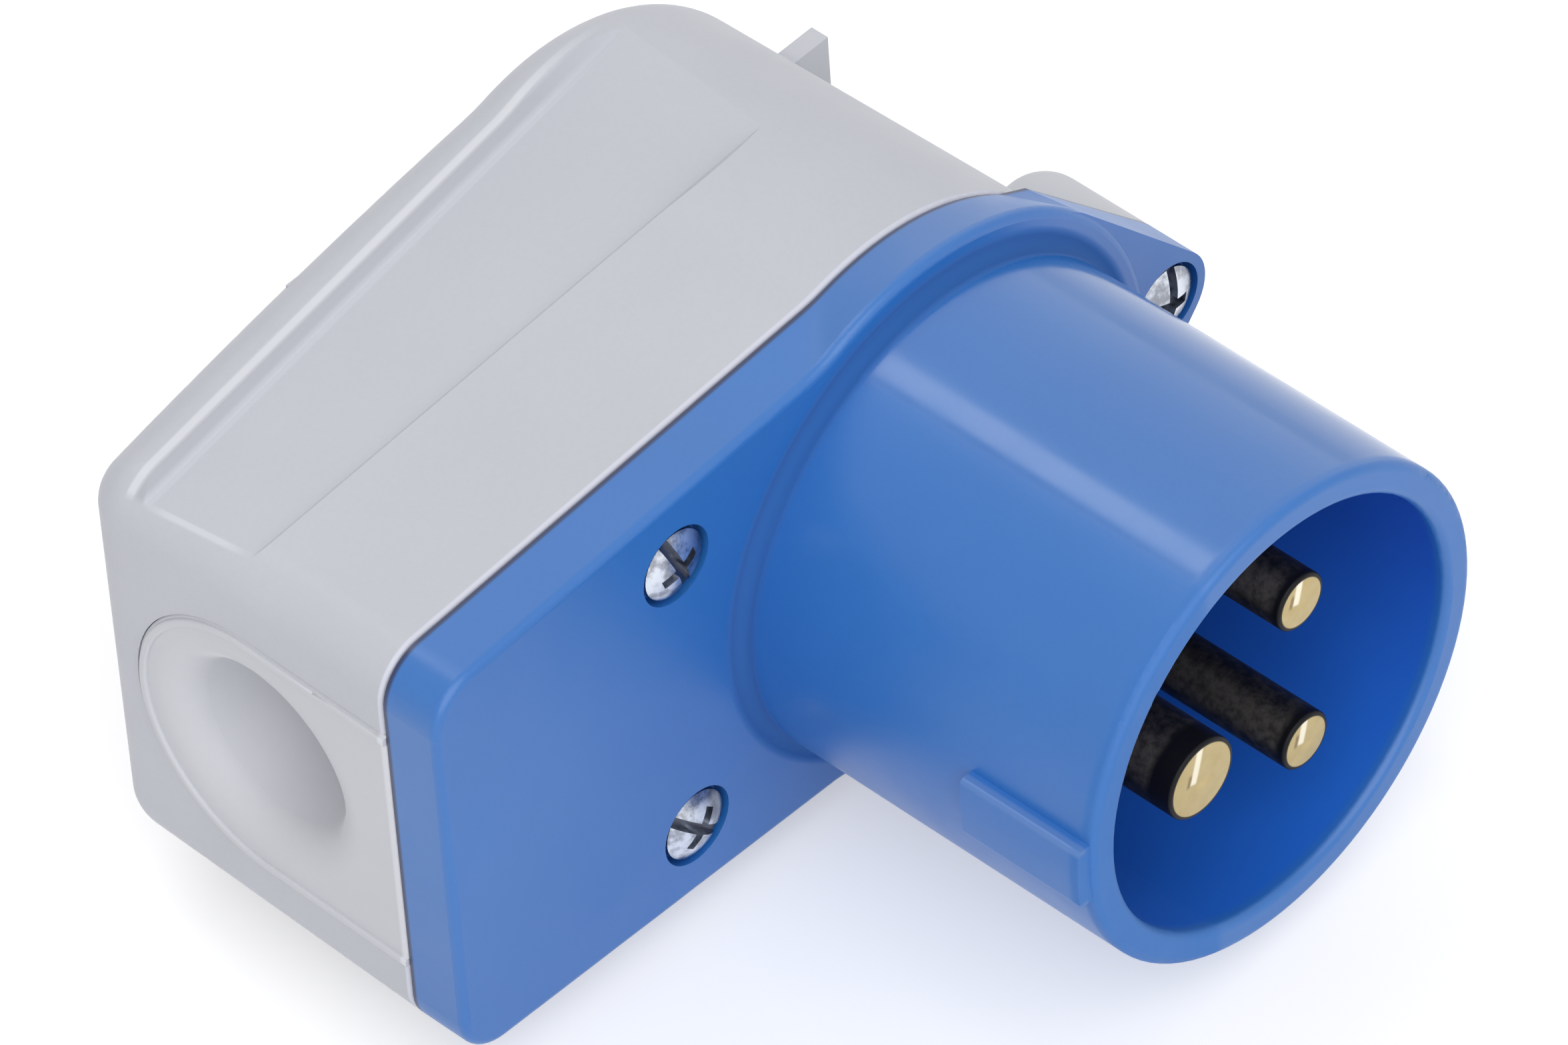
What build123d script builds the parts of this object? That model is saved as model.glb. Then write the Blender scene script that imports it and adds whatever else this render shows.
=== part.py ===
from build123d import *
import os
from math import acos, cos, radians, sin, tan

# Angled industrial plug, 16 A, three pole, millimetres.
# The plug axis is Y, the pins point to -Y and the cable leaves to -X.
# The origin is the centre of the collar's mouth.

# Collar
collar_diameter = 42.0
collar_wall = 2.7
collar_length = 35.0
collar_rim_round = 0.7
collar_root_fillet = 1.0

# Key rib on the collar, on the cable side
key_width = 5.8
key_height = 1.2
key_length = 12.0
key_setback = 0.4
key_round = 0.4

# Outline shared by the plate and the housing
cable_end_reach = 52.2
body_margin = 1.7
flange_flare = 1.6
side_step = 0.5
side_taper = 3.1
end_corner_radius = 4.2
neck_radius = 14.0

# Plate of the front body
plate_depth = 5.3
plate_wall = 2.4
rim_wall = 2.2
plate_edge_round = 0.7

# Ear at the far end and the screws through the plate
ear_overhang = 3.9
ear_radius = 4.3
ear_setback = 0.3
ear_flank_front_step = -0.2
ear_flank_rear_step = 0.8
ear_sink = 0.4
plate_screw_setback = 25.2
plate_screw_margin = 6.77
plate_screw_turns = (-71, -42)
ear_screw_turn = 76
counterbore_diameter = 6.9
counterbore_depth = 1.5
plate_boss_wall = 1.6

# Housing
housing_depth_cable_end = 31.55
housing_depth_far_end = 36.2
rear_crown = 1.2
housing_wall = 2.2
housing_draft = 1.0
lip_round = 0.45
joint_gap = 0.15
ear_boss_depth = 11.5
ear_boss_round = 4.0
housing_boss_wall = 1.9
housing_rib_thickness = 2.0
pilot_clearance = 1.4

# Lap joint between the plate's rim and the housing's wall
tongue_height = 1.4
tongue_width = 1.0
tongue_clearance = 0.15
tongue_end_gap = 0.4

# Grip recess on both flat sides
grip_front_depth = 15.4
grip_rear_depth_cable_end = 25.6
grip_rear_depth_far_end = 32.65
grip_front_step = 0.4
grip_rear_step = 1.0
grip_front_run = 0.4
grip_rear_run = 0.8

# Fin on the far end
fin_overhang = 3.5
fin_half_height = 7.0
fin_thickness = 1.7
fin_depth = 29.15

# Cable grommet
grommet_radius = 12.5
grommet_axis_depth = 14.8
grommet_clearance = 0.06
grommet_edge_chamfer = 0.12
grommet_bead_margin = 0.25
grommet_bead_width = 0.7
grommet_bead_height = 0.3
grommet_bead_round = 0.2
grommet_lip = 1.6
grommet_lip_thickness = 1.6
grommet_sleeve_wall = 1.8
grommet_length = 10.8
funnel_radius = 8.4
funnel_depth = 8.5
funnel_round = 3.4
cable_bore_radius = 5.2

# Contact carrier
floor_setback = 0.9
carrier_ledge = 2.3
carrier_clearance = 0.1
carrier_seat_width = 1.4
carrier_flange = 3.0
barrier_thickness = 1.6
barrier_height = 13.0
hook_width = 6.0
hook_thickness = 1.5
hook_nose = 0.9

# Contact pins
pin_circle_diameter = 17.2
earth_angle = 180
pole_step = 120
earth_pin_diameter = 7.0
phase_pin_diameter = 5.0
earth_pin_recess = 0.3
phase_pin_recess = 1.75
pin_tip_round = 0.25
pin_tip_crown = 0.15
pin_clearance = 0.04
pin_shank_step = 0.3
terminal_wall = 2.3
terminal_length = 11.5
wire_hole_diameter = 3.4
wire_hole_depth = 4.2
terminal_chamfer = 0.5
terminal_screw_proud = 0.4

# Screws
screw_diameter = 3.5
screw_length = 10.0
screw_head_diameter = 6.0
screw_head_height = 2.1
head_edge_share = 0.6
drive_width = 0.9
drive_depth = 1.0
cross_length = 3.6
clamp_screw_diameter = 3.0
clamp_screw_head_diameter = 5.4
clamp_screw_head_height = 1.9
clamp_screw_length = 9.0
terminal_screw_diameter = 3.5
terminal_screw_length = 6.0
thread_clearance = 0.05
screw_tip_chamfer = 0.6

# Cable clamp
clamp_setback = 15.4
clamp_width = 8.0
clamp_end_margin = 0.25
clamp_post_wall = 1.8
clamp_thickness = 2.6
clamp_bore_radius = 5.3
cradle_thickness = 5.0
cradle_clearance = 0.4
clamp_tooth = 0.8
clamp_tooth_pitch = 2.4

# Depths along the plug axis
plate_front = collar_length
pocket_floor = plate_front + plate_wall
parting = plate_front + plate_depth
housing_front = parting + joint_gap
contact_face = plate_front + floor_setback
ear_front = plate_front + ear_setback
cable_axis = parting + grommet_axis_depth
tongue_front = parting - tongue_height
terminal_seat = pocket_floor + carrier_flange
terminal_end = terminal_seat + terminal_length
clamp_seat = cable_axis - cradle_clearance
plate_screw_seat = plate_front + counterbore_depth
ear_screw_seat = ear_front + counterbore_depth
pilot_end = ear_screw_seat + screw_length + pilot_clearance

# Radii worked out from the sizes above
collar_radius = collar_diameter / 2
collar_bore = collar_radius - collar_wall
body_radius = collar_radius + body_margin
flange_radius = body_radius + flange_flare
side_reach = body_radius - side_step
carrier_bore = collar_bore - carrier_ledge
carrier_radius = carrier_bore - carrier_clearance
carrier_flange_radius = carrier_radius + carrier_seat_width
tongue_inset = rim_wall - tongue_width
counterbore_radius = counterbore_diameter / 2
screw_radius = screw_diameter / 2
screw_hole = screw_radius + thread_clearance
housing_boss = screw_hole + housing_boss_wall
plate_boss = counterbore_radius + plate_boss_wall
terminal_hole = terminal_screw_diameter / 2 + thread_clearance
terminal_radius = terminal_hole + terminal_wall
clamp_screw_hole = clamp_screw_diameter / 2 + thread_clearance
clamp_post = clamp_screw_hole + clamp_post_wall
clamp_post_reach = grommet_radius + grommet_lip - clamp_end_margin - clamp_post
smallest_round = 0.3
match_tolerance = 0.05


def side_height(x):
    """Height of the flat upper side at a place along X, at the housing's front."""
    return side_reach / cos(radians(side_taper)) + x * tan(radians(side_taper))


# Places of the screws, the clamp and the pins
ear_reach = body_radius + ear_overhang
plate_screw_x = plate_screw_setback - cable_end_reach
plate_screw_z = side_height(plate_screw_x) - plate_screw_margin
clamp_x = clamp_setback - cable_end_reach
plate_screws = [(plate_screw_x, plate_screw_z), (plate_screw_x, -plate_screw_z)]
ear_screw = (ear_reach, 0.0)
clamp_posts = [(clamp_x, clamp_post_reach), (clamp_x, -clamp_post_reach)]
pin_circle = pin_circle_diameter / 2
pin_angles = {
    "earth_pin": earth_angle,
    "line_pin": earth_angle - pole_step,
    "neutral_pin": earth_angle + pole_step,
}
pin_places = {
    name: (pin_circle * cos(radians(angle)), pin_circle * sin(radians(angle)))
    for name, angle in pin_angles.items()
}
pin_radii = {
    "earth_pin": earth_pin_diameter / 2,
    "line_pin": phase_pin_diameter / 2,
    "neutral_pin": phase_pin_diameter / 2,
}
pin_tips = {
    "earth_pin": earth_pin_recess,
    "line_pin": phase_pin_recess,
    "neutral_pin": phase_pin_recess,
}
barrier_angles = [angle + pole_step / 2 for angle in pin_angles.values()]


def station(depth):
    """Plane across the plug axis, seen from the front: X to the right, Z up."""
    return Plane(origin=(0, depth, 0), x_dir=(1, 0, 0), z_dir=(0, -1, 0))


def across(x):
    """Plane across X at one place: Y to the right, Z up, facing +X."""
    return Plane(origin=(x, 0, 0), x_dir=(0, 1, 0), z_dir=(1, 0, 0))


def spoke(angle):
    """Plane through the plug axis at one angle: outward to the right, Y up."""
    turn = radians(angle)
    return Plane(origin=(0, 0, 0), x_dir=(cos(turn), 0, sin(turn)), z_dir=(-sin(turn), 0, cos(turn)))


def screw_seats(places, depth, turns):
    """Seats at one depth for screws whose heads point to the front, each with its own turn."""
    return [Location((x, depth, z), (90, 0, turn)) for (x, z), turn in zip(places, turns)]


def on_end_wall(edge, proud=0.0):
    """True for an edge that lies on the outer face of the cable end, or proud of it."""
    lean = tan(radians(housing_draft))
    middle = edge.center()
    return abs(middle.X + cable_end_reach + proud - lean * (middle.Y - housing_front)) < match_tolerance


def outline(depth, end_radius, inset=0.0, round_corners=True):
    """Outline at one depth: tapered sides that run into a round far end."""
    side = side_reach - inset
    end = cable_end_reach - inset
    lean = radians(side_taper)
    end_half = (side - end * sin(lean)) / cos(lean)
    with BuildSketch(station(depth)) as drawn:
        Polygon(
            (-end, -end_half),
            (-side * sin(lean), -side * cos(lean)),
            (-side * sin(lean), side * cos(lean)),
            (-end, end_half),
            align=None,
        )
        Circle(end_radius - inset)
        fillet(drawn.vertices().sort_by(Axis.X)[2:4], neck_radius + inset)
        if round_corners:
            fillet(drawn.vertices().sort_by(Axis.X)[:2], max(end_corner_radius - inset, smallest_round))
    return drawn.sketch


def ear_outline(depth, end_radius, flank_step):
    """Ear outline at one depth: flanks that rise from the round end and touch the ear's own circle."""
    base = end_radius + flank_step
    foot = end_radius - ear_sink
    turn = acos((base - ear_radius) / ear_reach)
    start = turn + acos(foot / base)
    corners = [
        (foot * cos(start), foot * sin(start)),
        (base * cos(turn), base * sin(turn)),
        (ear_reach + ear_radius * cos(turn), ear_radius * sin(turn)),
    ]
    with BuildSketch(station(depth)) as drawn:
        with Locations((ear_reach, 0)):
            Circle(ear_radius)
        Polygon(*corners, *[(x, -z) for x, z in reversed(corners)], align=None)
    return drawn.sketch


def along(x, at_cable_end, at_far_end):
    """Value at a place along X that runs evenly from the cable end to the far end."""
    share = (x + cable_end_reach) / (cable_end_reach + body_radius)
    return at_cable_end + share * (at_far_end - at_cable_end)


def rear_depth(x):
    """Depth of the housing's crowned rear face at a place along X."""
    off_middle = along(x, -1, 1)
    base = along(x, housing_depth_cable_end, housing_depth_far_end)
    return housing_front + base + rear_crown * (1 - off_middle**2)


def housing_block(inset):
    """Solid inside the housing's outer faces, pulled in by inset on every side but the front."""
    left = -cable_end_reach - end_corner_radius
    right = body_radius + end_corner_radius
    middle = (left + right) / 2
    edge_round = max(end_corner_radius - inset, smallest_round)
    beyond = housing_depth_far_end * 2
    with BuildPart() as block:
        sharp = outline(housing_front, body_radius, inset, round_corners=False)
        extrude(sharp, amount=-beyond, taper=housing_draft)
        with BuildSketch(Plane.XY):
            with BuildLine():
                rear = ThreePointArc(
                    (left, rear_depth(left) - inset),
                    (middle, rear_depth(middle) - inset),
                    (right, rear_depth(right) - inset),
                )
                Line(rear @ 1, (right, housing_front - beyond))
                Line((right, housing_front - beyond), (left, housing_front - beyond))
                Line((left, housing_front - beyond), rear @ 0)
            make_face()
        extrude(amount=flange_radius * 2, both=True, mode=Mode.INTERSECT)
        rear_edges = block.faces().sort_by(Axis.Y)[-1].edges()
        upright = block.edges().filter_by(lambda e: abs((e @ 1 - e @ 0).Y) > housing_depth_cable_end / 2)
        fillet(rear_edges + upright.sort_by(Axis.X)[:2], edge_round)
    return block.part


def grip_cutter():
    """Wedge that sinks the grip recess into the upper flat side of the housing."""
    sections = []
    for x in (-cable_end_reach - end_corner_radius, body_radius):
        draft = tan(radians(housing_draft))
        front = housing_front + grip_front_depth
        rear = housing_front + along(x, grip_rear_depth_cable_end, grip_rear_depth_far_end)
        floor_front = side_height(x) - draft * grip_front_depth - grip_front_step
        floor_rear = side_height(x) - draft * (rear - housing_front) - grip_rear_step
        above = flange_radius + end_corner_radius
        front_slope = (above - floor_front) / grip_front_step * grip_front_run
        rear_slope = (above - floor_rear) / grip_rear_step * grip_rear_run
        with BuildSketch(across(x)) as section:
            Polygon(
                (front, floor_front),
                (rear, floor_rear),
                (rear + rear_slope, above),
                (front - front_slope, above),
                align=None,
            )
        sections.append(section.sketch)
    with BuildPart() as cutter:
        loft(sections, ruled=True)
    return cutter.part


def lap_ring(front, rear, outer_inset, end_gap=0.0):
    """Ring along the inner half of the wall, open at the grommet and at the plate bosses."""
    with BuildPart() as ring:
        extrude(outline(rear, body_radius, outer_inset), amount=rear - front)
        extrude(outline(rear, body_radius, rim_wall), amount=rear - front, mode=Mode.SUBTRACT)
        with BuildSketch(station(rear)):
            with Locations((-cable_end_reach, 0)):
                Rectangle(end_corner_radius * 2, (grommet_radius + grommet_lip + end_gap) * 2)
            with Locations(*plate_screws):
                Circle(plate_boss + end_gap)
        extrude(amount=rear - front, mode=Mode.SUBTRACT)
    return ring.part


def arch(radius, x_from, x_to):
    """U-shaped block about the cable axis, open to the front, between two places along X."""
    with BuildPart() as block:
        with BuildSketch(across(x_from)):
            with Locations((cable_axis, 0)):
                Circle(radius)
                Rectangle(grommet_axis_depth, radius * 2, align=(Align.MAX, Align.CENTER))
        extrude(amount=x_to - x_from)
    return block.part


def screw(diameter, length, head_diameter, head_height):
    """Pan head screw along -Z with its head's seat at the origin, slot and cross in the head."""
    with BuildPart() as made:
        with BuildSketch(Plane.XZ):
            with BuildLine():
                Polyline(
                    (0, head_height),
                    (0, -length),
                    (diameter / 2 - screw_tip_chamfer, -length),
                    (diameter / 2, -length + screw_tip_chamfer),
                    (diameter / 2, 0),
                    (head_diameter / 2, 0),
                    (head_diameter / 2, head_height * head_edge_share),
                )
                TangentArc(
                    (0, head_height),
                    (head_diameter / 2, head_height * head_edge_share),
                    tangent=(1, 0),
                )
            make_face()
        revolve(axis=Axis.Z)
        with BuildSketch(Plane.XY.offset(head_height)):
            Rectangle(head_diameter, drive_width)
            Rectangle(drive_width, cross_length)
        extrude(amount=-drive_depth, mode=Mode.SUBTRACT)
    return made.part


def contact_pin(name):
    """Turned contact: crowned tip, stepped shank, terminal barrel, wire hole and threaded hole."""
    x, z = pin_places[name]
    with BuildPart() as made:
        with BuildSketch(Plane(origin=(x, 0, z), x_dir=(1, 0, 0), z_dir=(0, 0, 1))):
            with BuildLine():
                edge = (pin_radii[name], pin_tips[name] + pin_tip_crown)
                TangentArc((0, pin_tips[name]), edge, tangent=(1, 0))
                Polyline(edge, (pin_radii[name], contact_face), (0, contact_face), (0, pin_tips[name]))
            make_face()
        revolve(axis=Axis((x, 0, z), (0, 1, 0)))
        fillet(made.edges().filter_by(lambda e: e.is_closed).sort_by(Axis.Y)[0], pin_tip_round)
        with BuildSketch(station(contact_face)):
            with Locations((x, z)):
                Circle(pin_radii[name] - pin_shank_step)
        extrude(amount=-(terminal_seat - contact_face))
        with BuildSketch(station(terminal_seat)):
            with Locations((x, z)):
                Circle(terminal_radius)
        extrude(amount=-terminal_length)
        chamfer(made.edges().group_by(Axis.Y)[-1], terminal_chamfer)
        with BuildSketch(across(x)):
            with Locations((terminal_seat + wire_hole_depth, z)):
                Circle(wire_hole_diameter / 2)
        extrude(amount=terminal_radius * 2, both=True, mode=Mode.SUBTRACT)
        with BuildSketch(station(terminal_end)):
            with Locations((x, z)):
                Circle(terminal_hole)
        extrude(amount=terminal_length - wire_hole_depth, mode=Mode.SUBTRACT)
    return made.part


# Front body: plate, flange, ear, collar and the posts of the cable clamp
with BuildPart() as front_body:
    loft([outline(plate_front, flange_radius), outline(parting, body_radius)], ruled=True)
    fillet(front_body.edges().group_by(Axis.Y)[0], plate_edge_round)
    loft(
        [
            ear_outline(ear_front, flange_radius, ear_flank_front_step),
            ear_outline(parting, body_radius, ear_flank_rear_step),
        ],
        ruled=True,
    )
    # Collar with its root fillet
    with BuildSketch(station(0)):
        Circle(collar_radius)
    extrude(amount=-(plate_front + floor_setback))
    root = front_body.edges().filter_by(GeomType.CIRCLE).filter_by(
        lambda e: abs(e.radius - collar_radius) < match_tolerance
        and abs(e.center().Y - plate_front) < match_tolerance
    )
    fillet(root, collar_root_fillet)
    with BuildSketch(station(0)):
        Circle(collar_bore)
    extrude(amount=-contact_face, mode=Mode.SUBTRACT)
    rim = front_body.edges().filter_by(GeomType.CIRCLE).group_by(Axis.Y)[0]
    fillet(rim, collar_rim_round)
    # Key rib
    with BuildSketch(station(key_setback)) as key_section:
        Circle(collar_radius + key_height)
        with Locations((-collar_radius, 0)):
            Rectangle(collar_wall * 2, key_width, mode=Mode.INTERSECT)
        Circle(collar_radius - collar_wall / 2, mode=Mode.SUBTRACT)
        fillet(key_section.vertices().sort_by(Axis.X)[:2], key_round)
    extrude(amount=-(key_length - key_setback))
    # Hollow behind the plate, the lap joint's rebate and the seat of the contact carrier
    extrude(outline(parting, body_radius, rim_wall), amount=plate_depth - plate_wall, mode=Mode.SUBTRACT)
    rebate_inset = tongue_inset - tongue_clearance
    add(lap_ring(tongue_front - tongue_clearance, parting, rebate_inset), mode=Mode.SUBTRACT)
    with BuildSketch(station(contact_face)):
        Circle(carrier_bore)
    extrude(amount=-plate_depth, mode=Mode.SUBTRACT)
    # Bosses of the plate screws
    with BuildSketch(station(pocket_floor)):
        with Locations(*plate_screws):
            Circle(plate_boss)
    extrude(amount=-(plate_depth - plate_wall))
    # Posts and cradle of the cable clamp
    with BuildSketch(station(pocket_floor)):
        with Locations(*clamp_posts):
            Circle(clamp_post)
        with Locations((clamp_x, 0)):
            Rectangle(cradle_thickness, clamp_post_reach * 2)
    extrude(amount=-(clamp_seat - pocket_floor))
    with BuildSketch(across(clamp_x)):
        with Locations((cable_axis, 0)):
            Circle(clamp_bore_radius + cradle_clearance)
    extrude(amount=clamp_width, both=True, mode=Mode.SUBTRACT)
    with BuildSketch(station(clamp_seat)):
        with Locations(*clamp_posts):
            Circle(clamp_screw_hole)
    extrude(amount=clamp_screw_length, mode=Mode.SUBTRACT)
    # Snap hooks that hold the contact carrier
    hook_inner = carrier_flange_radius + carrier_clearance
    hook_outer = hook_inner + hook_thickness
    hook_top = terminal_seat + joint_gap
    for angle in barrier_angles:
        with BuildSketch(spoke(angle)):
            with BuildLine():
                Polyline(
                    (hook_inner, pocket_floor),
                    (hook_outer, pocket_floor),
                    (hook_outer, hook_top + hook_nose * 2),
                    (hook_inner, hook_top + hook_nose * 2),
                    (hook_inner - hook_nose, hook_top + hook_nose),
                    (hook_inner - hook_nose, hook_top),
                    (hook_inner, hook_top),
                    close=True,
                )
            make_face()
        extrude(amount=hook_width / 2, both=True)
    # Counterbored screw holes
    with Locations(*screw_seats(plate_screws, plate_front, plate_screw_turns)):
        CounterBoreHole(screw_hole, counterbore_radius, counterbore_depth, plate_depth)
    with Locations(*screw_seats([ear_screw], ear_front, [ear_screw_turn])):
        CounterBoreHole(screw_hole, counterbore_radius, counterbore_depth, plate_depth)
front_body.part.label = "front_body"

# Lug behind the ear: a boss with a domed end, joined to the round wall
with BuildPart() as ear_lug:
    with BuildSketch(station(housing_front)):
        with Locations((ear_reach, 0)):
            Circle(ear_radius)
            Rectangle(ear_reach / 2, ear_radius * 2, align=(Align.MAX, Align.CENTER))
    extrude(amount=-ear_boss_depth)
    fillet(ear_lug.edges().group_by(Axis.Y)[-1], ear_boss_round)
    fillet(ear_lug.edges().group_by(Axis.Y)[0], lip_round)

# Rear housing: drafted shell with grip recesses, ear lug, fin, screw bosses and grommet slot
with BuildPart() as rear_housing:
    add(housing_block(0.0))
    fillet(rear_housing.edges().group_by(Axis.Y)[0], lip_round)
    add(ear_lug.part)
    with BuildSketch(station(housing_front + fin_depth)):
        with Locations((body_radius + fin_overhang, 0)):
            Rectangle(flange_radius, fin_half_height * 2, align=(Align.MAX, Align.CENTER))
    extrude(amount=-fin_thickness)
    add(grip_cutter(), mode=Mode.SUBTRACT)
    add(mirror(grip_cutter(), about=Plane.XY, mode=Mode.PRIVATE), mode=Mode.SUBTRACT)
    add(housing_block(housing_wall), mode=Mode.SUBTRACT)
    # Tongue of the lap joint
    add(lap_ring(tongue_front, housing_front + tongue_width, tongue_inset, tongue_end_gap))
    # Bosses of the plate screws with their ribs
    with BuildSketch(station(parting)):
        with Locations(*plate_screws):
            Circle(housing_boss)
    extrude(amount=-(rear_depth(plate_screw_x) - housing_wall / 2 - parting))
    rib_end = side_height(plate_screw_x) - housing_wall + lip_round
    with BuildSketch(station(housing_front)):
        with Locations((plate_screw_x, plate_screw_z), (plate_screw_x, -rib_end)):
            Rectangle(housing_rib_thickness, rib_end - plate_screw_z, align=(Align.CENTER, Align.MIN))
    extrude(amount=-(rear_depth(plate_screw_x) - housing_wall / 2 - housing_front))
    with BuildSketch(station(parting)):
        with Locations(*plate_screws, ear_screw):
            Circle(screw_hole)
    extrude(amount=-(pilot_end - parting), mode=Mode.SUBTRACT)
    # Slot for the cable grommet
    add(
        arch(
            grommet_radius + grommet_clearance,
            -cable_end_reach - housing_wall,
            -cable_end_reach + housing_wall * 2,
        ),
        mode=Mode.SUBTRACT,
    )
rear_housing.part.label = "rear_housing"

# Lip of the grommet, which lies behind the end wall
with BuildPart() as grommet_collar:
    add(housing_block(housing_wall + grommet_clearance))
    add(
        arch(
            grommet_radius + grommet_lip,
            -cable_end_reach,
            -cable_end_reach + housing_wall + grommet_lip_thickness,
        ),
        mode=Mode.INTERSECT,
    )

# Raised bead along the grommet's outline
with BuildPart() as grommet_bead:
    bead_radius = grommet_radius - grommet_bead_margin
    bead_front = -cable_end_reach - housing_wall
    bead_rear = -cable_end_reach + housing_wall / 2
    add(housing_block(-grommet_bead_height))
    add(arch(bead_radius, bead_front, bead_rear), mode=Mode.INTERSECT)
    add(arch(bead_radius - grommet_bead_width, bead_front, bead_rear), mode=Mode.SUBTRACT)
    crest = grommet_bead.edges().filter_by(lambda e: on_end_wall(e, grommet_bead_height))
    along_crest = crest.filter_by(lambda e: e.length > grommet_bead_width * 2)
    fillet(along_crest, grommet_bead_round)

# Cable grommet: flush with the end wall, with a bead, a funnel and a sleeve for the cable
with BuildPart() as cable_grommet:
    add(housing_block(0.0))
    add(
        arch(
            grommet_radius,
            -cable_end_reach - housing_wall,
            -cable_end_reach + housing_wall + grommet_lip_thickness,
        ),
        mode=Mode.INTERSECT,
    )
    chamfer(cable_grommet.edges().filter_by(on_end_wall), grommet_edge_chamfer)
    add(grommet_collar.part)
    sleeve_back = -cable_end_reach + grommet_length
    sleeve_front = -cable_end_reach + housing_wall
    throat = -cable_end_reach + funnel_depth
    with BuildSketch(Plane(origin=(0, cable_axis, 0), x_dir=(1, 0, 0), z_dir=(0, 0, 1))):
        Polygon(
            (sleeve_front, 0),
            (sleeve_front, funnel_radius),
            (throat, cable_bore_radius + grommet_sleeve_wall),
            (sleeve_back, cable_bore_radius + grommet_sleeve_wall),
            (sleeve_back, 0),
            align=None,
        )
    revolve(axis=Axis((0, cable_axis, 0), (1, 0, 0)))
    with BuildSketch(Plane(origin=(0, cable_axis, 0), x_dir=(1, 0, 0), z_dir=(0, 0, 1))):
        Polygon(
            (-cable_end_reach, 0),
            (-cable_end_reach, funnel_radius),
            (throat, cable_bore_radius),
            (sleeve_back, cable_bore_radius),
            (sleeve_back, 0),
            align=None,
        )
    revolve(axis=Axis((0, cable_axis, 0), (1, 0, 0)), mode=Mode.SUBTRACT)
    mouth = cable_grommet.edges().filter_by(lambda e: e.is_closed and on_end_wall(e))
    fillet(mouth, funnel_round)
    add(grommet_bead.part)
cable_grommet.part.label = "cable_grommet"

# Contact carrier: insert with a flange and a barrier between each two terminals
with BuildPart() as contact_carrier:
    with BuildSketch(station(contact_face)):
        Circle(carrier_radius)
    extrude(amount=-(terminal_seat - contact_face))
    with BuildSketch(station(pocket_floor)):
        Circle(carrier_flange_radius)
    extrude(amount=-carrier_flange)
    barrier_reach = hook_inner - hook_nose * 2
    for angle in barrier_angles:
        with BuildSketch(spoke(angle)):
            Polygon(
                (0, terminal_seat),
                (barrier_reach, terminal_seat),
                (barrier_reach, terminal_seat + barrier_height),
                (0, terminal_seat + barrier_height),
                align=None,
            )
        extrude(amount=barrier_thickness / 2, both=True)
    for name, (x, z) in pin_places.items():
        with BuildSketch(station(contact_face)):
            with Locations((x, z)):
                Circle(pin_radii[name] - pin_shank_step + pin_clearance)
        extrude(amount=-(terminal_seat - contact_face), mode=Mode.SUBTRACT)
contact_carrier.part.label = "contact_carrier"

# Contact pins
with BuildPart() as earth_pin:
    add(contact_pin("earth_pin"))
earth_pin.part.label = "earth_pin"

with BuildPart() as line_pin:
    add(contact_pin("line_pin"))
line_pin.part.label = "line_pin"

with BuildPart() as neutral_pin:
    add(contact_pin("neutral_pin"))
neutral_pin.part.label = "neutral_pin"

# Terminal screws: headless, slotted, one in each pin
with BuildPart() as terminal_screws:
    for x, z in pin_places.values():
        with BuildSketch(station(terminal_end + terminal_screw_proud)):
            with Locations((x, z)):
                Circle(terminal_screw_diameter / 2)
        extrude(amount=terminal_screw_length)
        with BuildSketch(station(terminal_end + terminal_screw_proud)):
            with Locations((x, z)):
                Rectangle(terminal_screw_diameter, drive_width)
        extrude(amount=drive_depth, mode=Mode.SUBTRACT)
terminal_screws.part.label = "terminal_screws"

# Housing screws
with BuildPart() as housing_screws:
    with Locations(
        *screw_seats(plate_screws, plate_screw_seat, plate_screw_turns),
        *screw_seats([ear_screw], ear_screw_seat, [ear_screw_turn]),
    ):
        add(screw(screw_diameter, screw_length, screw_head_diameter, screw_head_height))
housing_screws.part.label = "housing_screws"

# Cable clamp: saddle with two feet and a row of small teeth
with BuildPart() as cable_clamp:
    with BuildSketch(station(clamp_seat)):
        with Locations(*clamp_posts):
            Circle(clamp_post)
        with Locations((clamp_x, 0)):
            Rectangle(clamp_width, clamp_post_reach * 2)
    extrude(amount=-clamp_thickness)
    with BuildSketch(across(clamp_x)):
        with Locations((cable_axis, 0)):
            Circle(clamp_bore_radius + clamp_thickness)
    extrude(amount=clamp_width / 2, both=True)
    with BuildSketch(across(clamp_x)):
        with Locations((cable_axis, 0)):
            Circle(clamp_bore_radius)
        with Locations((clamp_seat, 0)):
            Rectangle(cable_axis, clamp_post_reach * 2, align=(Align.MAX, Align.CENTER))
    extrude(amount=clamp_width / 2, both=True, mode=Mode.SUBTRACT)
    # Teeth across the cable
    tooth_root = cable_axis + clamp_bore_radius
    with BuildSketch(Plane.XY):
        with Locations(
            (clamp_x - clamp_tooth_pitch, tooth_root),
            (clamp_x, tooth_root),
            (clamp_x + clamp_tooth_pitch, tooth_root),
        ):
            Polygon((-clamp_tooth, clamp_tooth), (clamp_tooth, clamp_tooth), (0, -clamp_tooth), align=None)
    extrude(amount=clamp_bore_radius / 2, both=True)
    with BuildSketch(station(clamp_seat)):
        with Locations(*clamp_posts):
            Circle(clamp_screw_hole)
    extrude(amount=-clamp_thickness, mode=Mode.SUBTRACT)
cable_clamp.part.label = "cable_clamp"

# Clamp screws, which point to the front
with BuildPart() as clamp_screws:
    head_seat = clamp_seat + clamp_thickness
    with Locations(*[Location((x, head_seat, z), (-90, 0, 0)) for x, z in clamp_posts]):
        add(
            screw(
                clamp_screw_diameter,
                clamp_screw_length,
                clamp_screw_head_diameter,
                clamp_screw_head_height,
            )
        )
clamp_screws.part.label = "clamp_screws"

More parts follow.
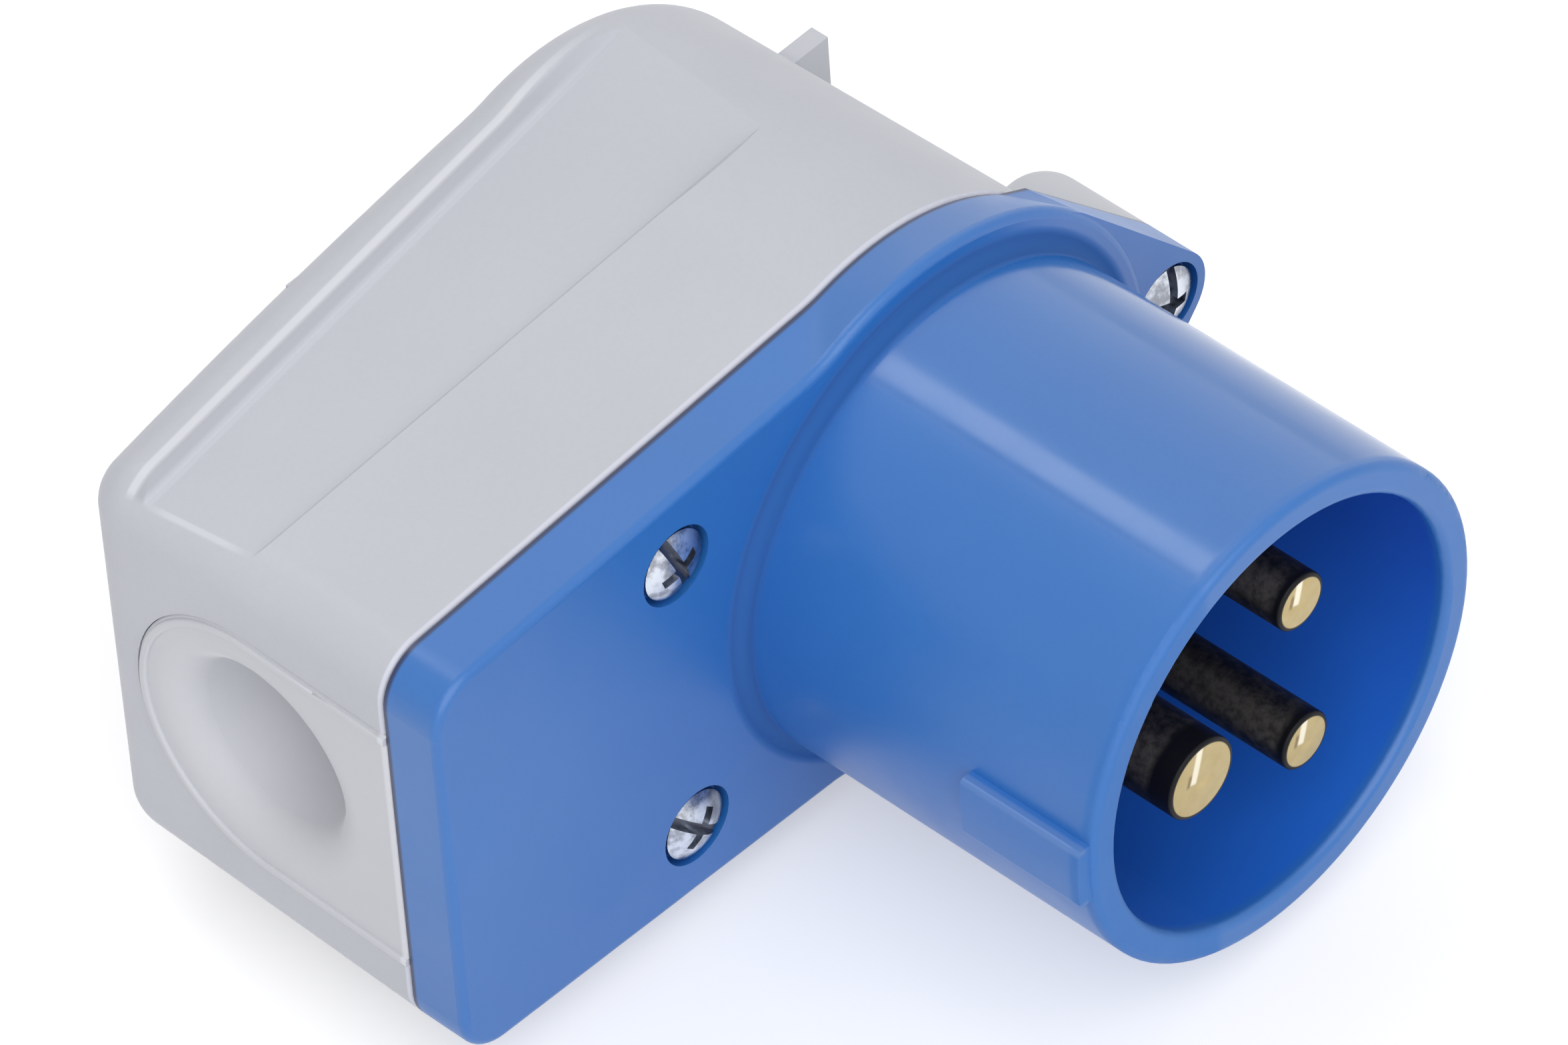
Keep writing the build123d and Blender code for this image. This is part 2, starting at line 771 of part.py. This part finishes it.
os.makedirs("parts", exist_ok=True)
export_step(front_body.part, "parts/front_body.step")
export_step(rear_housing.part, "parts/rear_housing.step")
export_step(cable_grommet.part, "parts/cable_grommet.step")
export_step(contact_carrier.part, "parts/contact_carrier.step")
export_step(earth_pin.part, "parts/earth_pin.step")
export_step(line_pin.part, "parts/line_pin.step")
export_step(neutral_pin.part, "parts/neutral_pin.step")
export_step(terminal_screws.part, "parts/terminal_screws.step")
export_step(housing_screws.part, "parts/housing_screws.step")
export_step(cable_clamp.part, "parts/cable_clamp.step")
export_step(clamp_screws.part, "parts/clamp_screws.step")
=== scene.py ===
import bpy
from math import cos, radians, sin
from mathutils import Euler, Matrix, Vector


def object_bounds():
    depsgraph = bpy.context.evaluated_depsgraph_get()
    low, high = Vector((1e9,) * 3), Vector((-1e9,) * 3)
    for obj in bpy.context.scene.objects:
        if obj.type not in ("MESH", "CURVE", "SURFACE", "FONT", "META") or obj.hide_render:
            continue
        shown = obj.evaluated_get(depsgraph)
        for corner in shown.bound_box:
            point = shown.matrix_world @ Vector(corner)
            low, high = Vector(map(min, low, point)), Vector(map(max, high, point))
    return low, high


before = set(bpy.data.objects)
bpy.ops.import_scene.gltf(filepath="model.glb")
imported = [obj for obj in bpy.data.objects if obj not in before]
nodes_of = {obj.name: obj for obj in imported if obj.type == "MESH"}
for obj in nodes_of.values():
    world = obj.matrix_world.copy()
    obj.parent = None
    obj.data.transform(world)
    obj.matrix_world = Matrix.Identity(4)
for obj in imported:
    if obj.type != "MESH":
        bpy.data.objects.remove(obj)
cad_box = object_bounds()
low_corner, high_corner = (Vector(corner) for corner in cad_box)
middle = (low_corner + high_corner) / 2

# Lengths are in metres; those on the plug are written as millimetres times this
MM = 0.001

# Most of the noise lies between these values
NOISE_SPAN = (0.3, 0.7)

# Moulded plastics: scales of their noise per metre, and how far it changes the surface
DRIFT_SCALE = 45
GLOSS_SCALE = 160
WAVE_SCALE = 70
DRIFT_SHARE = 0.7
GLOSS_SPREAD = 0.04
WAVE_STRENGTH = 0.1
WAVE_DEPTH = 0.3 * MM
GRAIN_STRENGTH = 0.3

# Floor and surroundings, which show as white but light the plug less than that
FLOOR_SIZE = 6
FLOOR_GAP = 0.2 * MM
FLOOR_COLOUR = (0.8, 0.8, 0.805, 1)
FLOOR_GLOW = 0.4
SKY_LIGHT = 0.47
WHITE = (1.0, 1.0, 1.0, 1.0)

# Camera, fitted to the photograph: place in metres, turn in degrees about X, Y and Z
CAMERA_PLACE = (-0.501581, -0.466877, 0.728793)
CAMERA_TURN = (44.0914, 2.8979, -47.0583)
CAMERA_REACH = (0.05, 20)
SENSOR_WIDTH_MM = 36.0
PHOTO_WIDTH_PX = 2352
FOCAL_LENGTH_PX = 20383.5


def linear(r, g, b):
    """Screen colour, 0 to 255, as the linear colour that a shader takes."""
    out = []
    for value in (r, g, b):
        c = value / 255
        out.append(c / 12.92 if c <= 0.04045 else ((c + 0.055) / 1.055) ** 2.4)
    return (*out, 1.0)


def box_middle(name):
    """Middle of a CAD node's box."""
    corners = [nodes_of[name].matrix_world @ Vector(corner) for corner in nodes_of[name].bound_box]
    return sum(corners, Vector()) / len(corners)


class Graph:
    """Short ways to add and join the nodes of one tree."""

    def __init__(self, tree):
        self.tree = tree

    def first(self, kind):
        """The node of one kind that the tree starts with."""
        return next(node for node in self.tree.nodes if node.type == kind)

    def feed(self, target, value):
        """Set a socket to a constant, or link another socket to it."""
        if isinstance(value, (int, float, tuple)):
            target.default_value = value
        else:
            self.tree.links.new(value, target)

    def node(self, kind, inputs=(), **settings):
        """New node with its settings and what its inputs are fed."""
        node = self.tree.nodes.new(kind)
        for key, value in settings.items():
            setattr(node, key, value)
        for name, value in dict(inputs).items():
            self.feed(node.inputs[name], value)
        return node

    def split(self, vector):
        """X, Y and Z of a vector as three sockets."""
        return self.node("ShaderNodeSeparateXYZ", {0: vector}).outputs

    def math(self, operation, a, b=0.0):
        """One operation on one or two values."""
        return self.node("ShaderNodeMath", {0: a, 1: b}, operation=operation).outputs[0]

    def product(self, value, *others):
        """All values multiplied."""
        for other in others:
            value = self.math("MULTIPLY", value, other)
        return value

    def along(self, a, b, direction):
        """Weighted sum of a and b, which is how far the point a, b lies along a direction."""
        return self.math("ADD", self.product(a, direction[0]), self.product(b, direction[1]))

    def length(self, a, b):
        """Distance of the point a, b from the origin."""
        return self.math("SQRT", self.math("ADD", self.product(a, a), self.product(b, b)))

    def either(self, mask, off, on):
        """One number where a mask is 0, another where it is 1."""
        return self.math("ADD", self.product(mask, on - off), off)

    def remap(self, value, low, high, to_low, to_high, smooth=False):
        """Map the range from low to high onto another, and hold its ends outside."""
        inputs = {"Value": value, "From Min": low, "From Max": high, "To Min": to_low, "To Max": to_high}
        kind = "SMOOTHSTEP" if smooth else "LINEAR"
        return self.node("ShaderNodeMapRange", inputs, interpolation_type=kind).outputs["Result"]

    def rise(self, value, start, end, smooth=False):
        """Mask that goes from 0 to 1 between two values."""
        return self.remap(value, start, end, 0, 1, smooth)

    def fall(self, value, start, end, smooth=False):
        """Mask that goes from 1 to 0 between two values."""
        return self.remap(value, start, end, 1, 0, smooth)

    def band(self, value, centre, half_width):
        """Mask that is 1 around a centre value and fades to 0 at half a width from it."""
        flat_share = 0.4
        off = self.math("ABSOLUTE", self.math("SUBTRACT", value, centre))
        return self.fall(off, half_width * flat_share, half_width, smooth=True)

    def mix(self, factor, a, b):
        """Colour mix; a and b are colours or sockets."""
        node = self.node("ShaderNodeMix", {"Factor": factor}, data_type="RGBA")
        for name, value in (("A", a), ("B", b)):
            self.feed(next(s for s in node.inputs if s.name == name and s.type == "RGBA"), value)
        return next(s for s in node.outputs if s.type == "RGBA")

    def by_ray(self, lighting, shown):
        """One value for light, another for rays from the camera, off a gloss or through glass."""
        path = self.node("ShaderNodeLightPath").outputs
        direct = self.math("MAXIMUM", path["Is Camera Ray"], path["Is Glossy Ray"])
        direct = self.math("MAXIMUM", direct, path["Is Transmission Ray"])
        return self.remap(direct, 0, 1, lighting, shown)


class Shader(Graph):
    """A new material around the Principled shader that it starts with."""

    def __init__(self, name):
        self.material = bpy.data.materials.new(name)
        self.material.use_nodes = True
        super().__init__(self.material.node_tree)
        self.bsdf = self.first("BSDF_PRINCIPLED")

    def give(self, inputs):
        """Feed inputs of the Principled shader."""
        for name, value in inputs.items():
            self.feed(self.bsdf.inputs[name], value)

    def here(self, output="Position"):
        """The shaded point, or another output of the Geometry node."""
        return self.node("ShaderNodeNewGeometry").outputs[output]

    def noise(self, scale, detail=2.0, rough=0.5, stretch=None):
        """Noise over the place in metres, from 0 to 1."""
        place = self.here()
        if stretch:
            place = self.node("ShaderNodeMapping", {"Vector": place, "Scale": stretch}).outputs["Vector"]
        inputs = {"Vector": place, "Scale": scale, "Detail": detail, "Roughness": rough}
        return self.node("ShaderNodeTexNoise", inputs).outputs["Fac"]

    def bump(self, height, strength, distance, after=None):
        """Bumped normal, on top of another one if there is one."""
        inputs = {"Height": height, "Strength": strength, "Distance": distance}
        if after:
            inputs["Normal"] = after
        return self.node("ShaderNodeBump", inputs).outputs["Normal"]

    def blend_in(self, mask, colour, strength=1.0):
        """Lay a colour over the base colour where a mask is 1."""
        target = self.bsdf.inputs["Base Color"]
        below = target.links[0].from_socket
        self.feed(target, self.mix(self.product(mask, strength), below, colour))

    def roughen(self, mask, amount):
        """Add an amount to the roughness where a mask is 1."""
        target = self.bsdf.inputs["Roughness"]
        below = target.links[0].from_socket
        self.feed(target, self.math("ADD", below, self.product(mask, amount)))

    def put_on(self, *names):
        """Make this the only material of some CAD nodes."""
        for name in names:
            piece = nodes_of[name]
            piece.data.materials.clear()
            piece.data.materials.append(self.material)


def moulded(name, light, dark, rough, grain, grain_depth, specular=0.5):
    """Injection moulded plastic: slow colour drift, fine eroded grain and uneven gloss."""
    plastic = Shader(name)
    drift = plastic.noise(DRIFT_SCALE, detail=3)
    speck = plastic.noise(grain, rough=0.6)
    tone = plastic.along(drift, speck, (DRIFT_SHARE, 1 - DRIFT_SHARE))
    gloss = plastic.noise(GLOSS_SCALE, detail=3)
    waves = plastic.bump(plastic.noise(WAVE_SCALE), WAVE_STRENGTH, WAVE_DEPTH)
    plastic.give({
        "Base Color": plastic.mix(plastic.rise(tone, *NOISE_SPAN), dark, light),
        "Roughness": plastic.remap(gloss, *NOISE_SPAN, rough - GLOSS_SPREAD, rough + GLOSS_SPREAD),
        "Normal": plastic.bump(speck, GRAIN_STRENGTH, grain_depth, waves),
        "Specular IOR Level": specular,
    })
    return plastic


# Places count from the middle of the collar's mouth, and a pair is the stretch over which a look fades


def blue_plastic():
    """Glossy front body, with duller places on and in its collar, painted shade inside the collar, at its
    root and at the joint, and a painted reflection on the key rib's flanks.
    """
    mouth = (0.5 * MM, 1.5 * MM)
    bore = (18.4 * MM, 18.7 * MM)
    bore_height = (-15 * MM, 10 * MM)
    joint = (39.8 * MM, 40.1 * MM)
    cable_side = (-8.2 * MM, -7.4 * MM)
    plate_front = (33.8 * MM, 34.3 * MM)
    root_start = (33.4 * MM, 34.1 * MM)
    root_reach = (22.0 * MM, 22.8 * MM)
    rim = (0.8 * MM, 1.6 * MM)
    rib_reach = (21.3 * MM, 21.5 * MM)
    rib_flank = (2.4 * MM, 2.7 * MM)
    rib_end = 12.8 * MM

    blue = moulded("blue_plastic", linear(46, 115, 193), linear(40, 109, 187),
                   rough=0.15, grain=2600, grain_depth=0.005 * MM, specular=0.75)
    place = blue.split(blue.here())
    radius = blue.length(place["X"], place["Z"])

    # Painted shade on the smooth inside of the collar: deeper blue, darker towards its top
    inside = blue.product(blue.fall(radius, *bore), blue.rise(place["Y"], *mouth))
    bore_shade = blue.mix(blue.rise(place["Z"], *bore_height), linear(41, 111, 218), linear(37, 84, 200))
    blue.blend_in(inside, bore_shade)

    # Shade in the joint to the housing
    blue.blend_in(blue.rise(place["Y"], *joint, smooth=True), linear(10, 36, 84))

    # Duller on the cable side, on the plate and on the rim, dullest in the root of the collar
    dull = blue.math("MAXIMUM", blue.fall(place["X"], *cable_side), blue.rise(place["Y"], *plate_front))
    blue.roughen(dull, amount=0.2)
    blue.roughen(blue.fall(place["Y"], *rim, smooth=True), amount=0.25)
    root = blue.product(blue.fall(radius, *root_reach), blue.rise(place["Y"], *root_start))
    blue.roughen(root, amount=0.75)
    # Painted shade in the root of the collar
    blue.blend_in(root, linear(34, 93, 166), strength=0.9)

    # Painted reflection on the flanks of the key rib, which makes them paler
    flank_sheen = blue.product(
        blue.rise(radius, *rib_reach),
        blue.rise(blue.math("ABSOLUTE", place["Z"]), *rib_flank),
        blue.math("LESS_THAN", place["X"], 0),
        blue.math("LESS_THAN", place["Y"], rib_end),
    )
    blue.blend_in(flank_sheen, linear(82, 127, 192))
    blue.put_on("front_body")


def grey_plastic():
    """Grained rear housing, with painted highlights and shade along the edges of its grip recess and at the
    joint.
    """
    joint = (40.8 * MM, 41.0 * MM)
    far_end = (22.6 * MM, 23.2 * MM)
    flat_side = (14.5 * MM, 15.5 * MM)
    # The recess's rear step lies at Y = step_depth + step_slope * X
    step_depth = 70.957 * MM
    step_slope = 0.094
    step_fade = (-4 * MM, 6 * MM)
    # Its end edge lies at X = -end_reach - end_slope * Y
    end_reach = 45.844 * MM
    end_slope = 0.0694
    end_start = (-0.1 * MM, 0.4 * MM)
    end_edge_offset = 0.15 * MM
    end_edge_half_width = 0.4 * MM
    end_edge_centre = 61.2 * MM
    end_edge_half_length = 5.6 * MM

    grey = moulded("grey_plastic", linear(203, 205, 213), linear(197, 199, 208),
                   rough=0.44, grain=2200, grain_depth=0.03 * MM, specular=0.4)
    place = grey.split(grey.here())

    # Painted highlight along the edge at the joint; paler fin and ear boss
    grey.blend_in(grey.fall(place["Y"], *joint, smooth=True), linear(216, 218, 231))
    grey.blend_in(grey.rise(place["X"], *far_end), linear(212, 214, 220), strength=0.6)

    # Painted highlight on the crest and painted shade on the wall of the rear step, and a paler foot, each at
    # a distance past the step
    past_step = grey.math("SUBTRACT", grey.along(place["X"], place["Y"], (-step_slope, 1)), step_depth)
    past_end = grey.math("ADD", grey.along(place["X"], place["Y"], (1, end_slope)), end_reach)
    on_flat = grey.rise(grey.math("ABSOLUTE", place["Z"]), *flat_side)
    run = grey.product(grey.rise(past_end, *end_start), grey.fall(place["X"], *step_fade), on_flat)
    for distance, half_width, strength, colour in (
        (1.55 * MM, 0.5 * MM, 0.9, linear(224, 226, 233)),
        (0.65 * MM, 0.5 * MM, 0.85, linear(184, 186, 195)),
        (-0.2 * MM, 0.4 * MM, 0.6, linear(212, 214, 222)),
    ):
        line = grey.band(past_step, distance, half_width)
        grey.blend_in(grey.product(line, run), colour, strength)

    # Painted highlight along the edge where the recess meets the end wall
    edge = grey.product(
        grey.band(past_end, end_edge_offset, end_edge_half_width),
        grey.band(place["Y"], end_edge_centre, end_edge_half_length),
        on_flat,
    )
    grey.blend_in(edge, linear(220, 222, 230), strength=0.8)
    grey.put_on("rear_housing")


def grommet_rubber():
    """Smooth pale grommet, with a painted highlight at the joint and painted light inside the funnel."""
    joint = (40.8 * MM, 41.2 * MM)
    cable_axis = 55.25 * MM
    funnel_reach = (8.6 * MM, 9.4 * MM)
    funnel_mouth = (-52.0 * MM, -51.2 * MM)
    away_from_light = (0.82, -0.57)
    away_reach = (1 * MM, 7 * MM)

    soft = moulded("grommet_rubber", linear(213, 214, 220), linear(208, 210, 216),
                   rough=0.5, grain=1500, grain_depth=0.01 * MM, specular=0.35)
    place = soft.split(soft.here())

    # Painted highlight along the edge at the joint
    soft.blend_in(soft.fall(place["Y"], *joint, smooth=True), linear(230, 231, 238))

    # Painted light on the inside of the funnel, on the side away from the light, which makes it paler
    off_y = soft.math("SUBTRACT", place["Y"], cable_axis)
    off_z = place["Z"]
    painted_funnel_light = soft.product(
        soft.fall(soft.length(off_y, off_z), *funnel_reach),
        soft.rise(place["X"], *funnel_mouth),
        soft.rise(soft.along(off_z, off_y, away_from_light), *away_reach),
    )
    soft.blend_in(painted_funnel_light, linear(240, 241, 245))
    soft.put_on("cable_grommet")


def contact_brass():
    """Pins with a dark mottled shaft with a painted sheen, and a bright brass end in a dark ring, with a
    painted highlight strip and painted shade on the end.
    """
    earth_axis = box_middle("earth_pin")
    line_axis = box_middle("line_pin")
    earth_radius = 3.5 * MM
    line_radius = 2.5 * MM
    end_reach = (2.4 * MM, 3.0 * MM)
    ring_width = (0.3 * MM, 0.42 * MM)
    strip_lean = radians(20)
    strip_setback = 0.34
    strip_half_width = 0.46 * MM
    strip_start = (0.2 * MM, 0.5 * MM)
    shade_offset = -0.5 * MM
    shade_half_width = 0.25 * MM
    shade_centre = 0.7 * MM
    shade_half_length = 0.8 * MM
    shade_strength = 0.7
    mottle_edge = (0.42, 0.68)
    mottle_depth = 0.04 * MM
    mottle_rough = 0.1
    shaft_rough = 0.4
    brass_rough = 0.24
    sheen_direction = (-0.75, 0.66)
    sheen_spread = (0.72, 1.0)
    sheen_strength = 0.7

    pins = Shader("contact_brass")
    place = pins.split(pins.here())

    # Place around the axis of the pin that a point belongs to; line and neutral pin mirror each other
    earth = pins.math("LESS_THAN", place["X"], (earth_axis.x + line_axis.x) / 2)
    radius = pins.either(earth, line_radius, earth_radius)
    axis_z = pins.product(pins.math("SIGN", place["Z"]), pins.either(earth, line_axis.z, 0))
    off_x = pins.math("SUBTRACT", place["X"], pins.either(earth, line_axis.x, earth_axis.x))
    off_z = pins.math("SUBTRACT", place["Z"], axis_z)
    reach = pins.length(off_x, off_z)

    # Bright end inside a dark ring
    at_end = pins.fall(place["Y"], *end_reach)
    tip = pins.product(pins.rise(pins.math("SUBTRACT", radius, reach), *ring_width, smooth=True), at_end)

    # Painted highlight as a strip from beside the middle up to the ring, with painted shade along it
    side_x = pins.math("ADD", off_x, pins.product(radius, strip_setback))
    across = pins.along(side_x, off_z, (cos(strip_lean), -sin(strip_lean)))
    upward = pins.along(side_x, off_z, (sin(strip_lean), cos(strip_lean)))
    strip = pins.product(pins.band(across, 0, strip_half_width), pins.rise(upward, *strip_start, smooth=True))
    shade = pins.product(
        pins.band(across, shade_offset, shade_half_width),
        pins.band(upward, shade_centre, shade_half_length),
        shade_strength,
    )
    brass = pins.mix(pins.noise(900, detail=3), linear(181, 160, 112), linear(200, 183, 138))
    highlit_brass = pins.mix(strip, brass, linear(244, 236, 212))
    painted_end = pins.mix(shade, highlit_brass, linear(124, 104, 72))

    # Mottled shaft with a painted sheen along one side
    mottle = pins.noise(1500, detail=4, rough=0.65)
    facing = pins.math("DIVIDE", pins.along(off_x, off_z, sheen_direction), reach)
    patchy = pins.remap(mottle, low=0.3, high=0.6, to_low=0.3, to_high=1)
    shaft_sheen = pins.product(pins.rise(facing, *sheen_spread, smooth=True), patchy, sheen_strength)
    dark = pins.mix(pins.rise(mottle, *mottle_edge), linear(21, 23, 28), linear(52, 50, 49))
    shaft = pins.mix(at_end, pins.mix(shaft_sheen, dark, linear(84, 80, 74)), linear(14, 14, 17))

    pins.give({
        "Base Color": pins.mix(tip, shaft, painted_end),
        "Metallic": tip,
        "Roughness": pins.math("ADD", pins.either(tip, shaft_rough, brass_rough),
                               pins.product(mottle, mottle_rough)),
        "Normal": pins.bump(mottle, strength=0.35, distance=mottle_depth),
        "Specular IOR Level": 0.2,
    })
    pins.put_on("earth_pin", "line_pin", "neutral_pin")


def zinc_steel():
    """Screws of bright, clouded zinc plate with fine scratches, and painted shade on one side of each head
    and in the slots.
    """
    screw_reach = 27 * MM
    shaded_side = (0.4 * MM, 2.6 * MM)
    ear_start = 20 * MM
    ear_setback = 0.3 * MM
    slot_floor = (35.28 * MM, 35.34 * MM)
    facing_front = (-0.9, -0.8)
    cloud_edge = (0.36, 0.62)
    cloud_rough = (0.22, 0.36)
    scratch_stretch = (1, 1, 0.15)
    scratch_depth = 0.02 * MM

    zinc = Shader("zinc_steel")
    place = zinc.split(zinc.here())
    cloud = zinc.noise(700, detail=4, rough=0.6)
    clouded = zinc.rise(cloud, *cloud_edge, smooth=True)
    scratches = zinc.noise(2500, stretch=scratch_stretch)
    zinc.give({
        "Base Color": zinc.mix(clouded, linear(148, 152, 162), linear(222, 228, 238)),
        "Metallic": 1.0,
        "Roughness": zinc.remap(cloud, *NOISE_SPAN, *cloud_rough),
        "Normal": zinc.bump(scratches, strength=0.25, distance=scratch_depth),
    })

    # Painted shade on the +X side of each head
    axis_x = zinc.product(zinc.math("SIGN", place["X"]), screw_reach)
    aside = zinc.math("SUBTRACT", place["X"], axis_x)
    zinc.blend_in(zinc.rise(aside, *shaded_side, smooth=True), linear(84, 92, 112), strength=0.6)

    # Painted shade on the floor of the slot and cross; the screw in the ear sits a little deeper
    setback = zinc.product(zinc.math("GREATER_THAN", place["X"], ear_start), ear_setback)
    depth = zinc.math("SUBTRACT", place["Y"], setback)
    ahead = zinc.fall(zinc.split(zinc.here("True Normal"))["Y"], *facing_front)
    zinc.blend_in(zinc.product(zinc.rise(depth, *slot_floor), ahead), linear(92, 95, 104))
    zinc.put_on("housing_screws", "terminal_screws", "clamp_screws")


def lay_floor():
    """Pale floor that keeps the shadow and shows as white."""
    bpy.ops.mesh.primitive_plane_add(size=FLOOR_SIZE, location=(middle.x, middle.y, low_corner.z - FLOOR_GAP))
    floor = bpy.context.object
    floor.name = "floor"
    paper = Shader("paper")
    paper.give({
        "Base Color": FLOOR_COLOUR,
        "Roughness": 0.9,
        "Specular IOR Level": 0.0,
        "Emission Color": WHITE,
        "Emission Strength": paper.by_ray(0.0, FLOOR_GLOW),
    })
    floor.data.materials.append(paper.material)


def surround():
    """Soft white surroundings."""
    world = bpy.data.worlds.new("studio")
    bpy.context.scene.world = world
    world.use_nodes = True
    studio = Graph(world.node_tree)
    sky = studio.first("BACKGROUND")
    studio.feed(sky.inputs["Color"], WHITE)
    studio.feed(sky.inputs["Strength"], studio.by_ray(SKY_LIGHT, 1.0))


def softbox(name, direction, distance, width, height, power):
    """Area light in one direction from the plug, turned to face it; metres and watts."""
    data = bpy.data.lights.new(name, "AREA")
    data.shape = "RECTANGLE"
    data.size = width
    data.size_y = height
    data.energy = power
    lamp = bpy.data.objects.new(name, data)
    bpy.context.collection.objects.link(lamp)
    aim = Vector(direction).normalized()
    lamp.location = middle + aim * distance
    lamp.rotation_euler = aim.to_track_quat("Z", "Y").to_euler()


def place_camera():
    """Camera that sees the plug as the photograph does."""
    optics = bpy.data.cameras.new("camera")
    optics.sensor_width = SENSOR_WIDTH_MM
    optics.sensor_fit = "HORIZONTAL"
    optics.lens = FOCAL_LENGTH_PX / PHOTO_WIDTH_PX * SENSOR_WIDTH_MM
    optics.clip_start, optics.clip_end = CAMERA_REACH
    camera = bpy.data.objects.new("camera", optics)
    bpy.context.collection.objects.link(camera)
    turn = Euler([radians(angle) for angle in CAMERA_TURN]).to_matrix().to_4x4()
    camera.matrix_world = Matrix.Translation(CAMERA_PLACE) @ turn
    bpy.context.scene.camera = camera


blue_plastic()
grey_plastic()
grommet_rubber()
carrier = moulded("carrier_plastic", linear(28, 84, 165), linear(23, 76, 154),
                  rough=0.48, grain=2200, grain_depth=0.02 * MM)
carrier.put_on("contact_carrier")
clamp = moulded("clamp_plastic", linear(66, 68, 74), linear(58, 60, 66),
                rough=0.5, grain=2200, grain_depth=0.03 * MM)
clamp.put_on("cable_clamp")
contact_brass()
zinc_steel()

lay_floor()
surround()
softbox("streak_light", direction=(0.02, 0.50, 0.87), distance=0.9, width=0.15, height=0.7, power=0.7)
softbox("top_light", direction=(0.66, 0.42, 0.62), distance=1.5, width=1.9, height=1.9, power=4.2)
softbox("front_fill", direction=(-0.42, -0.64, 0.64), distance=1.3, width=1.7, height=1.7, power=13.0)
place_camera()
bpy.context.scene.view_settings.view_transform = "Standard"
